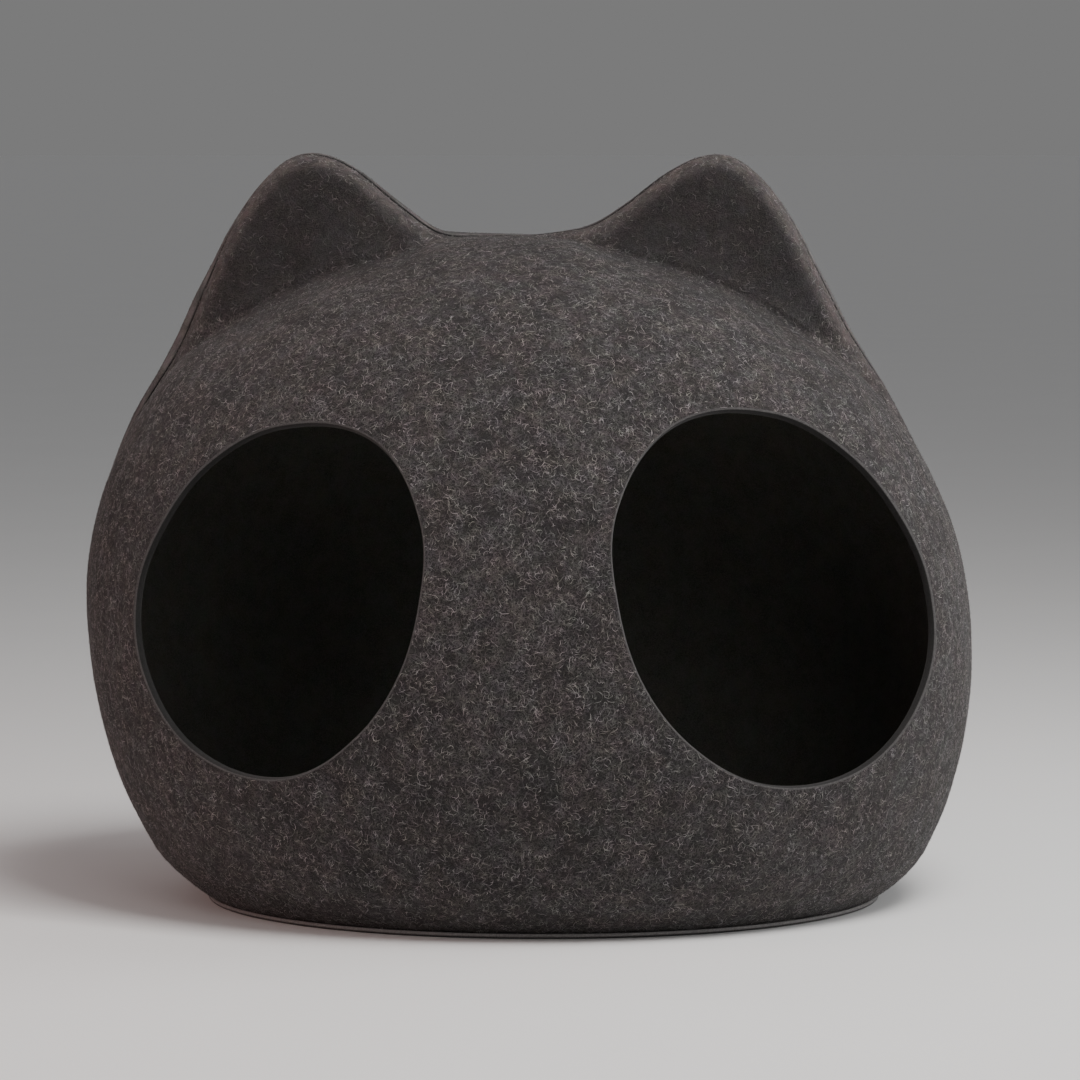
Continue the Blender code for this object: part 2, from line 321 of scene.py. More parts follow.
def front_frame(x, z):
    """Points of the front half's outer face over (x, z), and its outward directions."""
    slope_x = shell_depth(x + SLOPE_STEP, z) - shell_depth(x - SLOPE_STEP, z)
    slope_z = shell_depth(x, z + SLOPE_STEP) - shell_depth(x, z - SLOPE_STEP)
    normal = np.stack([-slope_x, np.full_like(x, -2 * SLOPE_STEP), -slope_z], axis=-1)
    normal /= np.linalg.norm(normal, axis=-1, keepdims=True)
    return np.stack([x, -shell_depth(x, z), z], axis=-1), normal


def eye_loop(number, offset, depth=0.0):
    """Points round an opening, offset outward from its cut and sunk into the felt by depth."""
    degrees = np.arange(EYE_SIDES) * 360.0 / EYE_SIDES
    reach = round_rows(degrees, EYE_ROWS, number + 1) + offset
    x = EYE_MIDDLES[number][0] + reach * np.cos(np.radians(degrees))
    z = EYE_MIDDLES[number][1] + reach * np.sin(np.radians(degrees))
    points, normals = front_frame(x, z)
    return points - normals * depth


def eye_wall_steps():
    """Offset and depth of each loop through an opening's wall, from the outer face inward."""
    front = [rounded(turn, CUT_ROUND) for turn in ROUND_TURNS + (90,)]
    back = [(offset, FELT - sunk) for offset, sunk in front[::-1]]
    return front + [(0.0, FELT / 2)] + back


def eye_distance(x, z):
    """Distance from the nearest opening's cut, negative inside it."""
    nearest = np.full_like(x, 1.0)
    for number, (middle_x, middle_z) in enumerate(EYE_MIDDLES):
        degrees = np.degrees(np.arctan2(z - middle_z, x - middle_x))
        away = np.hypot(x - middle_x, z - middle_z)
        away -= round_rows(degrees, EYE_ROWS, number + 1)
        nearest = np.minimum(nearest, away)
    return nearest


def swell(degrees, depth):
    """How far the back half stands out past the seam."""
    behind = depth / FULLNESS_DEPTH
    return through_rows(degrees % 360.0, FULLNESS_ROWS, 1) * behind * np.exp(1 - behind)


def shell_points(degrees, latitude, rise_share, side, fullness, depth=None):
    """Outer face's points at directions and latitudes, before the hem is turned under."""
    reach = body_reach(degrees) * np.cos(np.radians(latitude)) + ear_rise(degrees) * rise_share
    along, up = np.cos(np.radians(degrees)), np.sin(np.radians(degrees))
    x, z = reach * along, reach * up + WIDEST_HEIGHT
    if depth is None:
        depth = shell_depth(x, z)
    if fullness:
        x, z = x + swell(degrees, depth) * along, z + swell(degrees, depth) * up
    return np.stack([x, side * depth, z], axis=-1)


def turned_under(points):
    share = 1 - np.clip(points[:, 2] / TUCK_HEIGHT, 0, 1)
    scale = 1 - HEM_TUCK * share**2 / np.hypot(points[:, 0], points[:, 1])
    return points * np.stack([scale, scale, np.ones_like(scale)], axis=-1)


def rings_and_columns():
    """Directions of the columns, and the latitudes and ear shares of the rings."""
    start, end = EAR_SPAN
    close = np.linspace(start, end, EAR_COLUMNS, endpoint=False)
    open_part = np.linspace(end, start + 360.0, OTHER_COLUMNS, endpoint=False)
    latitudes, shares = [], []
    low, share = 0.0, 1.0
    for latitude, next_share, count in RING_ROWS:
        for i in range(1, count + 1):
            latitudes.append(low + (latitude - low) * i / count)
            shares.append(share + (next_share - share) * i / count)
        low, share = latitude, next_share
    return np.concatenate([close, open_part]), latitudes, shares


def chart(degrees, latitude):
    """Place of a direction and latitude in the cap's flat chart."""
    away = CAP_SCALE * (90.0 - latitude) / 90.0
    return np.stack([away * np.cos(np.radians(degrees)), away * np.sin(np.radians(degrees))], -1)


def chart_of_points(x, z):
    high = z - WIDEST_HEIGHT
    degrees = np.degrees(np.arctan2(high, x))
    share = np.clip(np.hypot(x, high) / body_reach(degrees), 0, 1)
    return chart(degrees, np.degrees(np.arccos(share)))


def cap_points(columns, latitude, side, fullness, with_eyes):
    """Chart and space points of the cap: the last ring, the loops round openings, a fine grid."""
    flat = [chart(columns, latitude)]
    space = [shell_points(columns, latitude, 0.0, side, fullness)]
    loops = []
    if with_eyes:
        for number in range(len(EYE_MIDDLES)):
            for offset in (CUT_ROUND,) + EYE_LOOPS:
                points = eye_loop(number, offset)
                if offset == CUT_ROUND:
                    loops.append(sum(len(part) for part in flat))
                flat.append(chart_of_points(points[:, 0], points[:, 2]))
                space.append(points)
    edge = CAP_SCALE * (90.0 - latitude) / 90.0 - CAP_EDGE_GAP * CAP_STEP
    count = int(edge / CAP_STEP) + 2
    i, j = np.meshgrid(np.arange(-count, count + 1), np.arange(-2 * count, 2 * count + 1))
    u = (i + 0.5 * (j % 2)).ravel() * CAP_STEP
    v = j.ravel() * CAP_STEP * math.sqrt(0.75)
    away = np.hypot(u, v)
    u, v, away = (part[away < edge] for part in (u, v, away))
    grid = shell_points(
        np.degrees(np.arctan2(v, u)), 90.0 - 90.0 * away / CAP_SCALE, 0.0, side, fullness
    )
    if with_eyes:
        keep = eye_distance(grid[:, 0], grid[:, 2]) > EYE_LOOPS[-1] + CAP_EYE_GAP * CAP_STEP
        u, v, grid = u[keep], v[keep], grid[keep]
    flat.append(np.stack([u, v], -1))
    space.append(grid)
    return np.concatenate(flat), np.concatenate(space), loops


def seam_and_ring_rows(columns, latitudes, shares, side, fullness):
    """Rows of points from the seam to the cap: close ones at the seam, then the rings."""
    first = shell_points(columns, latitudes[0], shares[0], side, fullness)
    rows = []
    for step in SEAM_STEPS[::-1]:
        depth = PIECE_GAP / 2 + step * (np.abs(first[:, 1]) - PIECE_GAP / 2)
        depth = np.minimum(depth, PIECE_GAP / 2 + step * 2 * SEAM_GROOVE_WIDTH)
        rows.append(shell_points(columns, 0.0, 1.0, side, fullness, depth))
    for latitude, share in zip(latitudes[:-1], shares[:-1]):
        rows.append(shell_points(columns, latitude, share, side, fullness))
    return rows


def cap_faces(flat, loops, count):
    """Triangles between the cap's points, none across an opening."""
    edges = [(i, (i + 1) % count) for i in range(count)]
    for start in loops:
        edges += [(start + i, start + (i + 1) % EYE_SIDES) for i in range(EYE_SIDES)]
    made = delaunay_2d_cdt([Vector(p) for p in flat], edges, [], 0, JOIN_SNAP)
    source = [min(same) for same in made[3]]
    triangles = np.array([[source[k] for k in face] for face in made[2]])
    for start in loops:
        on_loop = (triangles >= start) & (triangles < start + EYE_SIDES)
        triangles = triangles[~on_loop.all(axis=1)]
    return triangles


def cut_off_level(bm):
    """Cut a sheet off at the hem, and give it level rows of points a little higher."""
    for height in (HEM,) + HEM_ROWS:
        bmesh.ops.bisect_plane(
            bm,
            geom=bm.verts[:] + bm.edges[:] + bm.faces[:],
            dist=LEVEL_SNAP,
            plane_co=(0, 0, height),
            plane_no=(0, 0, 1),
            clear_inner=height == HEM,
        )
    bmesh.ops.delete(bm, geom=[v for v in bm.verts if not v.link_faces], context="VERTS")


def outer_sheet(side, fullness, with_eyes):
    """Open mesh of one half's outer face, cut off level at the hem."""
    columns, latitudes, shares = rings_and_columns()
    count = len(columns)
    rows = seam_and_ring_rows(columns, latitudes, shares, side, fullness)
    flat, space, loops = cap_points(columns, latitudes[-1], side, fullness, with_eyes)
    points = np.concatenate(rows + [space])
    offset = count * len(rows)
    faces = []
    for r in range(len(rows)):
        for i in range(count):
            j = (i + 1) % count
            low, high = r * count, (r + 1) * count
            faces.append((low + i, low + j, high + j, high + i))
    faces += [tuple(int(k) + offset for k in face) for face in cap_faces(flat, loops, count)]

    bm = bmesh.new()
    tag = bm.verts.layers.int.new("rim")
    verts = [bm.verts.new(p) for p in points]
    for number, start in enumerate(loops):
        for i in range(EYE_SIDES):
            verts[offset + start + i][tag] = 1 + number * EYE_SIDES + i
    for face in faces:
        bm.faces.new([verts[k] for k in (face if side < 0 else face[::-1])])
    cut_off_level(bm)
    for vert, place in zip(bm.verts, turned_under(np.array([v.co for v in bm.verts]))):
        vert.co = place
    bm.normal_update()
    bm.verts.index_update()
    return bm, tag


def unevenness(points, calm):
    """Slow swells of handmade felt, still along cuts and seam."""
    lift = np.zeros(len(points))
    for size, height in SWELLS:
        lift += [height * noise.noise(Vector(p) / size) for p in points]
    return lift * calm


FACE, CUT, INSIDE, SHADED_EYE_WALL = range(4)  # a felt half's materials, by number; the last is the openings' walls in painted shade


def new_piece(name, places, faces, materials, looks=None):
    """Smooth mesh object of points, faces and the faces' material numbers."""
    mesh = bpy.data.meshes.new(name)
    mesh.from_pydata(places.tolist(), [], faces)
    for material in materials:
        mesh.materials.append(material)
    if looks:
        mesh.polygons.foreach_set("material_index", looks)
    mesh.shade_smooth()
    piece = bpy.data.objects.new(name, mesh)
    bpy.context.collection.objects.link(piece)
    return piece


def set_levels(piece, name, levels):
    """Store a number for each point, which the materials read by this name."""
    piece.data.attributes.new(name, "FLOAT", "POINT").data.foreach_set("value", levels)


def felt_skins(points, normals, with_eyes):
    """Outer and inner points of a felt half, with its swells, seam groove and rolled hem."""
    depth = np.abs(points[:, 1])
    at_hem = points[:, 2] < HEM + LEVEL_SNAP
    normals[depth < SEAM_SNAP, 1] = 0
    normals /= np.linalg.norm(normals, axis=1, keepdims=True)

    calm = eased(depth, CALM_WIDTH) * eased(points[:, 2] - HEM, CALM_WIDTH)
    if with_eyes:
        away = eye_distance(points[:, 0], points[:, 2]) - 2 * CUT_ROUND
        calm *= eased(away, CALM_WIDTH)
    points = points + normals * unevenness(points, calm)[:, None]

    inner = points - normals * FELT
    groove = 1 - np.clip((depth - PIECE_GAP / 2) / SEAM_GROOVE_WIDTH, 0, 1)
    roll = 1 - np.clip((points[:, 2] - HEM) / HEM_ROLL_HEIGHT, 0, 1)
    outer = points - normals * np.maximum(SEAM_GROOVE * groove**2, HEM_ROLL * roll**2)[:, None]
    inner[at_hem, 2] = HEM
    outer[at_hem, 2] = HEM
    return outer, inner


def eye_walls(rim, count):
    """Points, faces and materials of the openings' walls, between the outer and inner face."""
    places, faces, looks = [], [], []
    total = 2 * count
    for number in range(len(EYE_MIDDLES)):
        first = 1 + number * EYE_SIDES
        ring = [int(np.nonzero(rim == first + i)[0][0]) for i in range(EYE_SIDES)]
        loops = [ring]
        for offset, sunk in eye_wall_steps():
            places.append(eye_loop(number, offset, sunk))
            loops.append(list(range(total, total + EYE_SIDES)))
            total += EYE_SIDES
        loops.append([k + count for k in ring])
        for k, (low, high) in enumerate(zip(loops, loops[1:])):
            for i in range(EYE_SIDES):
                j = (i + 1) % EYE_SIDES
                faces.append((low[i], low[j], high[j], high[i]))
                # past the arris the wall takes painted shade, near black
                looks.append(CUT if k < ARRIS_LOOPS else SHADED_EYE_WALL)
    return places, faces, looks


def felt_shell(name, side, fullness, with_eyes, materials):
    """Closed felt half: outer face, inner face, rounded cuts, seam and hem."""
    bm, tag = outer_sheet(side, fullness, with_eyes)
    points = np.array([v.co for v in bm.verts])
    normals = np.array([v.normal for v in bm.verts])
    rim = np.array([v[tag] for v in bm.verts])
    sheet = [[v.index for v in face.verts] for face in bm.faces]
    border = [
        [loop.vert.index, loop.link_loop_next.vert.index]
        for edge in bm.edges
        if edge.is_boundary
        for loop in edge.link_loops
    ]
    bm.free()

    count = len(points)
    outer, inner = felt_skins(points, normals, with_eyes)
    places = [outer, inner]
    faces = [tuple(face) for face in sheet]
    faces += [tuple(k + count for k in face[::-1]) for face in sheet]
    looks = [FACE] * len(sheet) + [INSIDE] * len(sheet)
    for a, b in border:
        if not (rim[a] and rim[b]):
            faces.append((b, a, a + count, b + count))
            looks.append(CUT)
    if with_eyes:
        wall_places, wall_faces, wall_looks = eye_walls(rim, count)
        places += wall_places
        faces += wall_faces
        looks += wall_looks
    shell = new_piece(name, np.concatenate(places), faces, materials, looks)
    shell.data.set_sharp_from_angle(angle=math.radians(SHARP_ANGLE))

    rim_fuzz_and_light = rim_share(points[:, 0], points[:, 2])
    nap = 1 - EAR_BARENESS * ear_share(points[:, 0], points[:, 2]) * (1 - rim_fuzz_and_light)
    seam_shadow, strip = seam_looks(outer, fullness)
    nap *= (1 - seam_shadow) * (1 - strip)
    for label, values, elsewhere in (
        ("nap", nap, INSIDE_NAP),
        ("rim_fuzz_and_light", rim_fuzz_and_light, 0.0),
        ("seam_shadow", seam_shadow, 0.0),
        ("seam_strip", strip, 0.0),
    ):
        levels = np.full(len(shell.data.vertices), elsewhere)
        levels[:count] = values
        set_levels(shell, label, levels)
    return shell


# Loose fibres on the felt's face
FIBRE_POINTS = 5
FIBRE_TAPER = (0.45, 0.9, 1.0, 0.9, 0.3)
FIBRE_SETS = (
    # name, how many, half width, shortest, longest, curl, lift
    ("pale", 23500, 0.00012, 0.0016, 0.0062, 1.3, 0.00040),
    ("dim", 23500, 0.00015, 0.0018, 0.0060, 1.3, 0.00035),
)
FIBRE_SHORTNESS = 1.6  # over 1 gives more short fibres than long ones
FIBRE_WANDER = 0.35  # chance turn at each point, in radians
FIBRE_CLEAR = 0.00012  # least height over the felt
FIBRE_ARCH = 0.7  # shares of the lift in a fibre's middle and at its end
FIBRE_END = 1.2
FIBRE_WIDTHS = (0.7, 0.6)  # narrowest share of the half width, and how much it may gain
FIRST_SEED = 11
BACK_SEEDS = 100
SIDEWAYS = (0.31, 0.83, 0.46)  # a direction to measure a fibre's heading from
NO_LENGTH = 1e-12  # keeps a fibre without length from dividing by nothing


def fibre_roots(mesh, count, random):
    """Chance places on the felt's face, denser where the nap is thick, with their facings."""
    mesh.calc_loop_triangles()
    size = len(mesh.loop_triangles)
    corners = np.empty(size * 3, dtype=np.int32)
    look = np.empty(size, dtype=np.int32)
    places = np.empty(len(mesh.vertices) * 3)
    nap = np.empty(len(mesh.vertices))
    mesh.loop_triangles.foreach_get("vertices", corners)
    mesh.loop_triangles.foreach_get("material_index", look)
    mesh.vertices.foreach_get("co", places)
    mesh.attributes["nap"].data.foreach_get("value", nap)
    places, corners = places.reshape(-1, 3), corners.reshape(-1, 3)[look == FACE]

    a, b, c = (places[corners[:, k]] for k in range(3))
    across = np.cross(b - a, c - a)
    area = np.linalg.norm(across, axis=1)
    chance = area * nap[corners].mean(axis=1)
    pick = random.choice(len(area), size=count, p=chance / chance.sum())
    s, t = random.random(count), random.random(count)
    s, t = np.where(s + t > 1, 1 - s, s), np.where(s + t > 1, 1 - t, t)
    root = a[pick] + (b - a)[pick] * s[:, None] + (c - a)[pick] * t[:, None]
    face = [tuple(int(k) for k in triangle) for triangle in corners]
    tree = BVHTree.FromPolygons(places.tolist(), face)
    return root, across[pick] / area[pick, None], nap[corners][pick].mean(axis=1), tree


def fibre_spines(root, normal, shortest, longest, curl, random):
    """Curly lines of points in the plane of the felt at each root."""
    count = len(root)
    first = np.cross(normal, SIDEWAYS)
    first /= np.linalg.norm(first, axis=1, keepdims=True)
    second = np.cross(normal, first)
    length = shortest + (longest - shortest) * random.random(count) ** FIBRE_SHORTNESS
    heading = random.random(count) * 2 * math.pi
    bend = random.normal(0, curl, count)
    steps = FIBRE_POINTS - 1
    spine = [root]
    for _ in range(steps):
        heading = heading + bend * 2 / steps + random.normal(0, FIBRE_WANDER, count)
        ahead = first * np.cos(heading)[:, None] + second * np.sin(heading)[:, None]
        spine.append(spine[-1] + ahead * (length / steps)[:, None])
    return np.stack(spine, axis=1)


def fibre_mesh(name, shell, count, half_width, shortest, longest, curl, lift, seed, material):
    """Short curly ribbons lying on the shell's outer face, joined in one mesh."""
    random = np.random.default_rng(seed)
    root, normal, root_nap, tree = fibre_roots(shell.data, count, random)
    spine = fibre_spines(root, normal, shortest, longest, curl, random)

    seated, up = np.empty_like(spine), np.empty_like(spine)
    for i in range(count):
        for k in range(FIBRE_POINTS):
            seated[i, k], up[i, k], _, _ = tree.find_nearest(Vector(spine[i, k]))
    along = np.linspace(0, 1, FIBRE_POINTS)
    arch = np.sin(math.pi * along)[None, :] * random.random(count)[:, None]
    end = along[None, :] ** 2 * (random.random(count)[:, None] ** 3)
    height = FIBRE_CLEAR + lift * (FIBRE_ARCH * arch + FIBRE_END * end)
    seated += up * height[:, :, None]

    side = np.cross(up, np.gradient(seated, axis=1))
    side /= np.linalg.norm(side, axis=2, keepdims=True) + NO_LENGTH
    narrowest, gain = FIBRE_WIDTHS
    width = half_width * (narrowest + gain * random.random(count))
    side = side * (width[:, None] * np.array(FIBRE_TAPER)[None, :])[:, :, None]
    strip = np.stack([seated - side, seated + side], axis=2).reshape(-1, 3)

    steps = np.arange(FIBRE_POINTS - 1)[None, :] * 2
    base = (np.arange(count)[:, None] * 2 * FIBRE_POINTS + steps).ravel()
    faces = np.stack([base, base + 2, base + 3, base + 1], axis=1)
    fibres = new_piece(name, strip, faces.tolist(), [material])
    set_levels(fibres, "nap", np.repeat(root_nap, 2 * FIBRE_POINTS))
    return fibres


# Base panel
BASE_SIDES = 200
BASE_RINGS = 14
BASE_INNER = 0.985  # size of the rings inside the panel's rounded edge, as a share of its outline
BASE_ROUND = 0.0009


def base_outline():
    """Points round the base panel and their outward directions."""
    high = HEM - WIDEST_HEIGHT
    half = HALF_WIDTH * (1 - abs(high / DROP) ** OVAL_POWER) ** (1 / OVAL_POWER)
    turn = np.arange(BASE_SIDES) * 2 * math.pi / BASE_SIDES
    x = LEAN * high + half * np.cos(turn)
    y = np.copysign(shell_depth(x, np.full_like(x, HEM)), np.sin(turn))
    points = turned_under(np.stack([x, y, np.full_like(x, HEM)], axis=-1))
    outward = np.stack([np.cos(turn), np.sin(turn), np.zeros_like(turn)], axis=-1)
    return points * [1, 1, 0] + outward * [0, BASE_PROUD, 0], outward


def base_panel(name, materials):
    """Flat felt panel with a rounded cut edge: its top, edge and underside in loops of points."""
    outline, outward = base_outline()
    middle = outline.mean(axis=0)
    rings = [
        middle + (outline - middle) * BASE_INNER * i / BASE_RINGS for i in range(1, BASE_RINGS)
    ]
    rings.append(outline - outward * BASE_ROUND)
    top = [ring + [0, 0, BASE_FELT] for ring in rings]
    edge = [rounded(turn, BASE_ROUND) for turn in ROUND_TURNS]
    top += [outline - outward * inset + [0, 0, BASE_FELT - sunk] for inset, sunk in edge]
    top.append(outline + [0, 0, BASE_FELT - BASE_ROUND])
    bottom = [outline + [0, 0, BASE_ROUND]]
    bottom += [outline - outward * inset + [0, 0, sunk] for inset, sunk in edge[::-1]]
    loops = top + bottom + rings[::-1]
    points = np.concatenate(loops + [[middle + [0, 0, BASE_FELT]], [middle]])

    faces, looks = [], []
    for r in range(len(loops) - 1):
        at_edge = len(rings) - 1 <= r < len(loops) - len(rings)
        for i in range(BASE_SIDES):
            j = (i + 1) % BASE_SIDES
            low, high = r * BASE_SIDES, (r + 1) * BASE_SIDES
            faces.append((low + i, high + i, high + j, low + j))
            looks.append(int(at_edge))
    last = (len(loops) - 1) * BASE_SIDES
    for i in range(BASE_SIDES):
        j = (i + 1) % BASE_SIDES
        faces.append((i, j, len(points) - 2))
        faces.append((last + j, last + i, len(points) - 1))
        looks += [0, 0]
    return new_piece(name, points, faces, materials, looks)


# Materials
PATTERNS = {
    # fineness, detail, roughness, twist, place in the noise, lowest level, highest level
    "cloud": (34, 3, 0.60, 0.0, None, 0.34, 0.66),
    "clump": (150, 3, 0.65, 0.3, None, 0.36, 0.66),
    "grain": (1500, 2, 0.70, 0.0, None, 0.34, 0.68),
    "mottle": (75, 3, 0.60, 0.4, (0.4, 0.9), 0.35, 0.70),
    "cut_grain": (1300, 2, 0.70, 0.0, None, 0.30, 0.70),
    "fibre_tone": (260, 3, 0.70, 0.0, None, 0.30, 0.70),
}
CURLS = (
    # fineness, width of the lines, strength, place in the noise
    (190, 0.020, 1.0, (0.13, 0.4)),
    (330, 0.032, 1.0, (0.61, 1.3)),
    (560, 0.050, 0.8, (1.9, 2.1)),
)
CURL_NOISE = (1.5, 0.55, 0.6)  # detail, roughness, twist
CASTS = (
    # fineness of the drift, the two casts it goes between
    (55, (0.99, 1.00, 1.015), (1.08, 0.985, 0.965)),
    (150, (0.97, 1.02, 0.95), (1.035, 0.98, 1.04)),
)
CAST_NOISE = (3, 0.65, 0.5)
CAST_PLACE = (0.9, 2.4)
CAST_LEVELS = (0.32, 0.68)
CLUMP_SHARE = 0.65  # share of the clumps in the felt's patches, the rest being the clouds'
MOTTLE_SHARE = 0.5  # how far the mottle and the patches lighten the ground
PATCH_SHARE = 0.45
RIM_LIGHT_LEAST = 0.3  # least cover of the painted light on the ears' rims, and what the clumps add
RIM_LIGHT_GAIN = 0.5
PRESSED_SHARE = 0.45  # how far mottle and grain each lighten the strip behind the seam
CURL_HEIGHT = 0.7  # heights in the bump, as shares of the clumps'
GRAIN_HEIGHT = 0.5
STRIP_CALM = 0.7  # share by which the strip is smoother
LAYER_SHARE = 0.5  # weights of the layers and the grain in the look of a cut
CUT_GRAIN_SHARE = 0.4
# painted light on the ears' rims
RIM_LIGHT_COLOUR = (0.085, 0.070, 0.067)
STRIP_DARK = (0.030, 0.028, 0.028)
STRIP_PALE = (0.130, 0.122, 0.120)
# painted shadow in the gap between the two halves at the seam
SEAM_SHADOW_COLOUR = (0.005, 0.0046, 0.0046)
# painted shadow where the base's cut edge meets the floor
CONTACT_SHADOW_COLOUR = (0.018, 0.0165, 0.016)
CONTACT_SHADOW_BAND = (0.0004, 0.0016)  # heights over which the painted contact shadow on the base's cut edge fades out

# Tones of each material, from dark to pale
FACE_TONES = ((0.0058, 0.0052, 0.0053), (0.025, 0.0226, 0.0226), (0.105, 0.098, 0.097))
# painted light: the inside's tones are far paler than the face's, standing in for light reaching into
# the cave
INSIDE_PAINTED_LIGHT_TONES = ((0.052, 0.053, 0.046), (0.108, 0.110, 0.096), (0.165, 0.166, 0.148))
CUT_TONES = ((0.022, 0.020, 0.020), (0.085, 0.080, 0.079))
# painted shade: the openings' walls, far darker than the cut felt
SHADED_EYE_WALL_TONES = ((0.003, 0.0028, 0.0027), (0.020, 0.019, 0.0185))
BASE_CUT_TONES = ((0.085, 0.080, 0.078), (0.270, 0.257, 0.252))
FIBRE_TONES = {
    "pale": ((0.050, 0.047, 0.046), (0.250, 0.237, 0.233)),
    "dim": ((0.021, 0.019, 0.019), (0.092, 0.085, 0.084)),
}
FLOOR_COLOUR = (0.74, 0.73, 0.72)
FLOOR_DARKER = 0.97


def colour_sockets(node):
    """The two inputs and the output of a mix node that carry colour."""
    first, second = (next(s for s in node.inputs if s.name == k and s.type == "RGBA") for k in "AB")
    return first, second, next(s for s in node.outputs if s.type == "RGBA")


class Nodes:
    """Short way to add and join shader nodes."""

    def __init__(self, name):
        self.material = bpy.data.materials.new(name)
        self.material.use_nodes = True
        self.tree = self.material.node_tree
        self.shader = self.tree.nodes["Principled BSDF"]
        self.place = self.add("ShaderNodeTexCoord").outputs["Object"]

    def add(self, kind, **settings):
        node = self.tree.nodes.new(kind)
        for key, value in settings.items():
            setattr(node, key, value)
        return node

    def feed(self, socket, value):
        """Give a socket another node's output, a colour or a number."""
        if isinstance(value, (int, float)):
            socket.default_value = value
        elif isinstance(value, tuple):
            socket.default_value = (*value, 1.0)
        else:
            self.tree.links.new(value, socket)

    def noise(self, fineness, detail=2.0, roughness=0.5, twist=0.0, place=None):
        node = self.add("ShaderNodeTexNoise")
        node.inputs["Scale"].default_value = fineness
        node.inputs["Detail"].default_value = detail
        node.inputs["Roughness"].default_value = roughness
        node.inputs["Distortion"].default_value = twist
        self.feed(node.inputs["Vector"], self.moved(*place) if place else self.place)
        return node.outputs["Fac"]

    def moved(self, amount, offset):
        """The place, shifted and turned, so that two noises don't fall together."""
        node = self.add("ShaderNodeMapping")
        node.inputs["Location"].default_value = (amount, amount * 0.7, offset)
        node.inputs["Rotation"].default_value = (amount, offset, amount * 0.5)
        self.feed(node.inputs["Vector"], self.place)
        return node.outputs["Vector"]

    def math(self, operation, first, second=0.0):
        node = self.add("ShaderNodeMath", operation=operation)
        for socket, value in zip(node.inputs, (first, second)):
            self.feed(socket, value)
        return node.outputs[0]

    def times(self, first, second):
        return self.math("MULTIPLY", first, second)

    def plus(self, first, second):
        return self.math("ADD", first, second)

    def spread(self, value, low, high, to_low=0.0, to_high=1.0):
        """Smooth step between two levels of a value."""
        node = self.add("ShaderNodeMapRange", interpolation_type="SMOOTHSTEP")
        self.feed(node.inputs["Value"], value)
        sockets = ("From Min", "From Max", "To Min", "To Max")
        for key, number in zip(sockets, (low, high, to_low, to_high)):
            node.inputs[key].default_value = number
        return node.outputs["Result"]

    def mix(self, share, first, second, blend="MIX"):
        node = self.add("ShaderNodeMix", data_type="RGBA", blend_type=blend)
        first_socket, second_socket, mixed = colour_sockets(node)
        self.feed(node.inputs["Factor"], share)
        self.feed(first_socket, first)
        self.feed(second_socket, second)
        return mixed

    def attribute(self, name):
        return self.add("ShaderNodeAttribute", attribute_name=name).outputs["Fac"]

    def pattern(self, name):
        fineness, detail, roughness, twist, place, low, high = PATTERNS[name]
        return self.spread(self.noise(fineness, detail, roughness, twist, place), low, high)

    def curls(self):
        """Thin curly lines: where a noise passes through its middle value."""
        curls = 0.0
        for fineness, width, strength, place in CURLS:
            field = self.noise(fineness, *CURL_NOISE, place)
            off = self.math("ABSOLUTE", self.math("SUBTRACT", field, 0.5))
            line = self.spread(off, 0.0, width, 1.0, 0.0)
            curls = self.math("MAXIMUM", curls, self.times(line, strength))
        return curls

    def tinted(self, colour):
        """The colour with drifts of cast: warm and cool, and smaller ones of green and plum."""
        for fineness, first_cast, second_cast in CASTS:
            field = self.noise(fineness, *CAST_NOISE, CAST_PLACE)
            drift = self.spread(field, *CAST_LEVELS)
            colour = self.mix(1.0, colour, self.mix(drift, first_cast, second_cast), "MULTIPLY")
        return colour

    def finish(self, colour, height, bump_height, bump_strength, roughness, sheen, sheen_tint):
        self.feed(self.shader.inputs["Base Color"], colour)
        self.shader.inputs["Roughness"].default_value = roughness
        self.shader.inputs["Specular IOR Level"].default_value = 0.25
        self.shader.inputs["Sheen Weight"].default_value = sheen
        self.shader.inputs["Sheen Roughness"].default_value = 0.5
        self.shader.inputs["Sheen Tint"].default_value = (*sheen_tint, 1.0)
        bump = self.add("ShaderNodeBump")
        bump.inputs["Distance"].default_value = bump_height
        bump.inputs["Strength"].default_value = bump_strength
        self.feed(bump.inputs["Height"], height)
        self.feed(self.shader.inputs["Normal"], bump.outputs["Normal"])
        return self.material


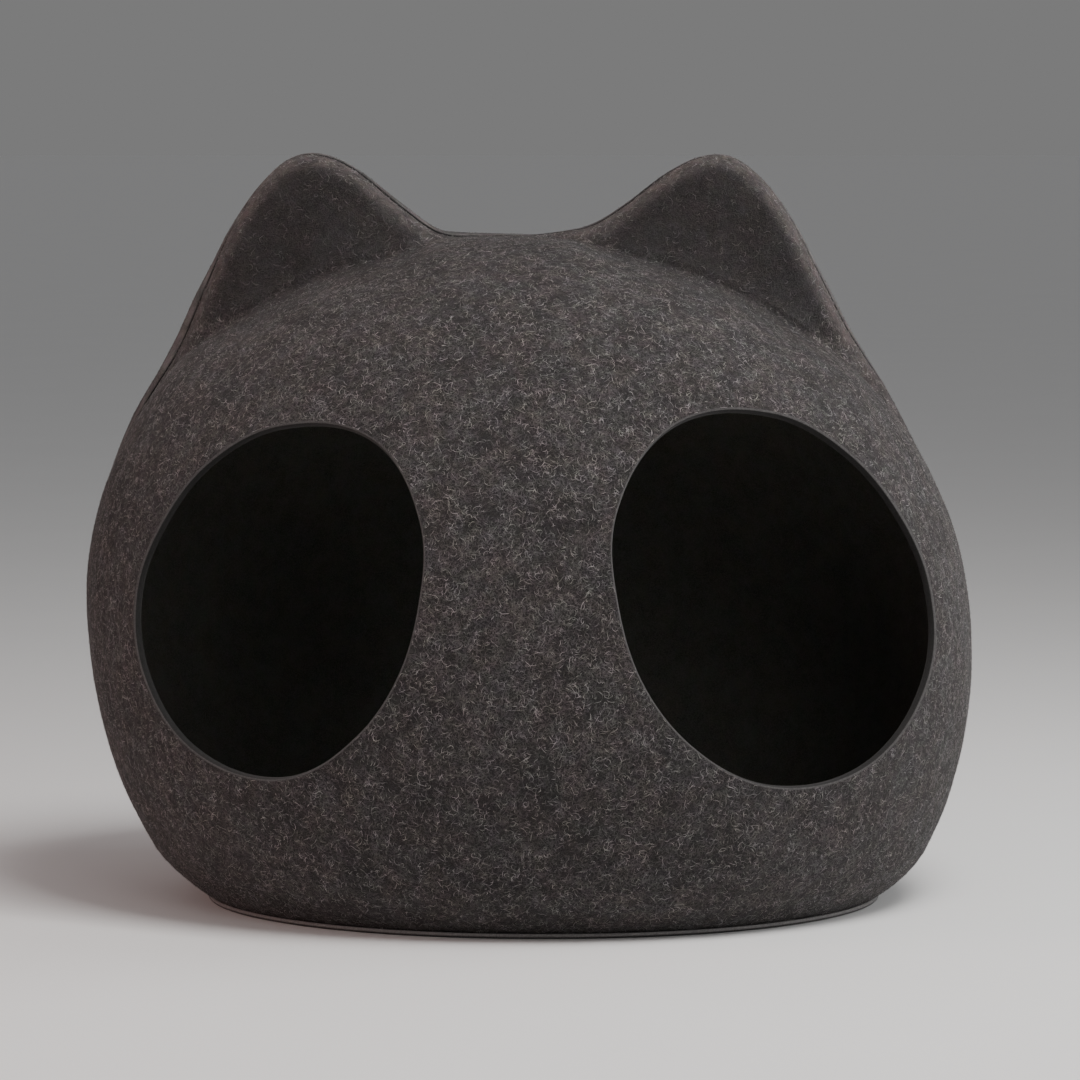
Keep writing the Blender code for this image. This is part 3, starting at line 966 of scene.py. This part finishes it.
def heather_felt(name, tones, curl_share, sheen):
    """Charcoal felt with pale curly fibres pressed into its face."""
    dark, middle, pale = tones
    n = Nodes(name)
    clump, grain, mottle = (n.pattern(kind) for kind in ("clump", "grain", "mottle"))
    curls = n.curls()
    clouds = n.times(n.pattern("cloud"), 1 - CLUMP_SHARE)
    patches = n.times(n.plus(n.times(clump, CLUMP_SHARE), clouds), n.attribute("nap"))

    ground = n.mix(grain, dark, middle)
    ground = n.mix(n.times(mottle, MOTTLE_SHARE), ground, middle)
    ground = n.mix(n.times(patches, PATCH_SHARE), ground, middle)
    colour = n.mix(n.times(curls, n.times(patches, curl_share)), ground, pale)
    # painted light: the ears' rims are mixed towards a pale pink, as where their rounding catches the
    # light
    rim_light_cover = n.plus(n.times(clump, RIM_LIGHT_GAIN), RIM_LIGHT_LEAST)
    colour = n.mix(n.times(n.attribute("rim_fuzz_and_light"), rim_light_cover), colour, RIM_LIGHT_COLOUR)
    strip = n.attribute("seam_strip")
    pressed = n.times(n.plus(mottle, grain), PRESSED_SHARE)
    colour = n.mix(strip, colour, n.mix(pressed, STRIP_DARK, STRIP_PALE))
    # painted shade: the seam is drawn near black, standing in for the shadow in the gap between the
    # halves
    colour = n.mix(n.attribute("seam_shadow"), n.tinted(colour), SEAM_SHADOW_COLOUR)

    height = n.plus(n.times(curls, CURL_HEIGHT), n.times(grain, GRAIN_HEIGHT))
    calm = n.math("SUBTRACT", 1.0, n.times(strip, STRIP_CALM))
    height = n.times(n.plus(height, clump), calm)
    return n.finish(
        colour,
        height,
        bump_height=0.0007,
        bump_strength=0.55,
        roughness=0.92,
        sheen=sheen,
        sheen_tint=(0.62, 0.58, 0.57),
    )


def cut_felt(name, tones, contact_shadow=False):
    """Dense smooth felt as a clean cut shows it; with a contact shadow, painted shade darkens it down
    at the floor.
    """
    n = Nodes(name)
    layers = n.noise(420, detail=3, roughness=0.6, place=(0.2, 0.6))
    grain = n.times(n.pattern("cut_grain"), CUT_GRAIN_SHARE)
    share = n.plus(n.times(layers, LAYER_SHARE), grain)
    colour = n.mix(share, *tones)
    # painted shade: the cut edge darkens towards the floor, standing in for its contact shadow
    if contact_shadow:
        parts = n.add("ShaderNodeSeparateXYZ")
        n.feed(parts.inputs["Vector"], n.place)
        colour = n.mix(n.spread(parts.outputs["Z"], *CONTACT_SHADOW_BAND), CONTACT_SHADOW_COLOUR, colour)
    return n.finish(
        colour,
        share,
        bump_height=0.0004,
        bump_strength=0.35,
        roughness=0.9,
        sheen=0.15,
        sheen_tint=(0.6, 0.58, 0.57),
    )


def fibre_look(name, tones):
    """Wool fibre, paler where the nap is thick."""
    n = Nodes(name)
    tone = n.times(n.pattern("fibre_tone"), n.attribute("nap"))
    colour = n.tinted(n.mix(tone, *tones))
    return n.finish(
        colour,
        n.noise(3000, 1),
        bump_height=0.0001,
        bump_strength=0.1,
        roughness=0.75,
        sheen=0.2,
        sheen_tint=(0.7, 0.68, 0.66),
    )


def floor_look(name):
    n = Nodes(name)
    darker = tuple(FLOOR_DARKER * level for level in FLOOR_COLOUR)
    tone = n.mix(n.noise(6, 2), darker, FLOOR_COLOUR)
    return n.finish(
        tone,
        n.noise(900, 2),
        bump_height=0.0002,
        bump_strength=0.1,
        roughness=0.8,
        sheen=0.0,
        sheen_tint=(1.0, 1.0, 1.0),
    )


# Camera and light
CAMERA_AT = (0.0059, -2.6, 0.42)
CAMERA_TO = (0.0059, 0.0, 0.1939)
LENS_MM = 159.76
SENSOR_MM = 36.0
CLIP = (0.05, 200.0)
LIGHTS = (
    # name, place, aimed at, width, height, power, colour
    ("overhead", (0.58, -0.75, 1.68), (0.0, -0.05, 0.20), 0.9, 0.7, 37.5, (1.0, 0.985, 0.97)),
    ("front", (0.80, -2.20, 1.00), (0.0, 0.0, 0.18), 1.1, 0.9, 8.2, (1.0, 0.98, 0.97)),
    ("right", (1.35, 0.10, 0.55), (0.0, 0.0, 0.20), 0.7, 0.9, 10.0, (0.97, 0.985, 1.0)),
    ("left", (-1.35, -0.35, 0.50), (0.0, 0.0, 0.20), 0.7, 0.9, 6.0, (1.0, 0.62, 0.56)),
)
FLOOR_REACH = 60.0
FLOOR_SINK = 0.0002  # how far the floor lies under the felt
WORLD_COLOUR = (0.90, 0.91, 0.93)
HORIZON_COLOUR = (0.66, 0.66, 0.66)
HORIZON_BAND = (0.03, 0.25)  # rise of the sky over which its colour comes in
WORLD_STRENGTH = 0.30


def aim(thing, place, target):
    thing.location = place
    way = Vector(target) - Vector(place)
    thing.rotation_mode = "QUATERNION"
    thing.rotation_quaternion = way.to_track_quat("-Z", "Y")


def make_camera():
    data = bpy.data.cameras.new("camera")
    data.lens, data.sensor_width = LENS_MM, SENSOR_MM
    data.clip_start, data.clip_end = CLIP
    camera = bpy.data.objects.new("camera", data)
    bpy.context.collection.objects.link(camera)
    aim(camera, CAMERA_AT, CAMERA_TO)
    bpy.context.scene.camera = camera


def make_lights():
    for name, place, target, width, height, power, colour in LIGHTS:
        data = bpy.data.lights.new(name, "AREA")
        data.shape = "RECTANGLE"
        data.size, data.size_y, data.energy, data.color = width, height, power, colour
        lamp = bpy.data.objects.new(name, data)
        bpy.context.collection.objects.link(lamp)
        aim(lamp, place, target)


def make_world():
    """Soft sky whose colour at the horizon meets the floor's."""
    world = bpy.data.worlds.new("studio")
    bpy.context.scene.world = world
    world.use_nodes = True
    tree = world.node_tree
    sky = tree.nodes["Background"]
    sky.inputs["Strength"].default_value = WORLD_STRENGTH
    place = tree.nodes.new("ShaderNodeTexCoord")
    parts = tree.nodes.new("ShaderNodeSeparateXYZ")
    rise = tree.nodes.new("ShaderNodeMapRange")
    rise.inputs["From Min"].default_value, rise.inputs["From Max"].default_value = HORIZON_BAND
    tone = tree.nodes.new("ShaderNodeMix")
    tone.data_type = "RGBA"
    low, high, mixed = colour_sockets(tone)
    low.default_value = (*HORIZON_COLOUR, 1.0)
    high.default_value = (*WORLD_COLOUR, 1.0)
    tree.links.new(place.outputs["Generated"], parts.inputs["Vector"])
    tree.links.new(parts.outputs["Z"], rise.inputs["Value"])
    tree.links.new(rise.outputs["Result"], tone.inputs["Factor"])
    tree.links.new(mixed, sky.inputs["Color"])


def make_floor():
    bm = bmesh.new()
    bmesh.ops.create_grid(bm, x_segments=8, y_segments=8, size=FLOOR_REACH)
    mesh = bpy.data.meshes.new("floor")
    bm.to_mesh(mesh)
    bm.free()
    mesh.materials.append(floor_look("pale_floor"))
    floor = bpy.data.objects.new("floor", mesh)
    floor.location.z = -FLOOR_SINK
    bpy.context.collection.objects.link(floor)


def main():
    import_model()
    make_camera()
    make_lights()
    make_world()
    make_floor()

    face = heather_felt("heather_felt", FACE_TONES, curl_share=0.95, sheen=0.06)
    cut = cut_felt("cut_felt", CUT_TONES)
    # the inside felt is painted paler, standing in for light reaching into the cave
    inside = heather_felt("inside_felt_painted_light", INSIDE_PAINTED_LIGHT_TONES, curl_share=0.4, sheen=0.04)
    # the openings' walls in painted shade
    shaded_eye_wall = cut_felt("opening_wall_painted_shade", SHADED_EYE_WALL_TONES)
    materials = (face, cut, inside, shaded_eye_wall)
    fibre_materials = {
        kind: fibre_look(f"{kind}_fibre", tones) for kind, tones in FIBRE_TONES.items()
    }
    # the base's cut edge carries a painted contact shadow at the floor
    base_cut = cut_felt("base_cut_felt", BASE_CUT_TONES, contact_shadow=True)
    base = base_panel("base_felt_panel", (face, base_cut))
    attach(base, "root")
    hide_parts("base_panel")
    for node, side, fullness, with_eyes, area in (
        ("front", -1, False, True, 0.205),
        ("back", 1, True, False, 0.255),
    ):
        shell = felt_shell(f"{node}_felt", side, fullness, with_eyes, materials)
        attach(shell, "root")
        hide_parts(f"{node}_shell")
        for number, (kind, *rest) in enumerate(FIBRE_SETS):
            seed = FIRST_SEED + number + (BACK_SEEDS if fullness else 0)
            name = f"{node}_{kind}_fibres"
            piece = fibre_mesh(name, shell, *rest, seed, fibre_materials[kind])
            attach(piece, "root")


main()
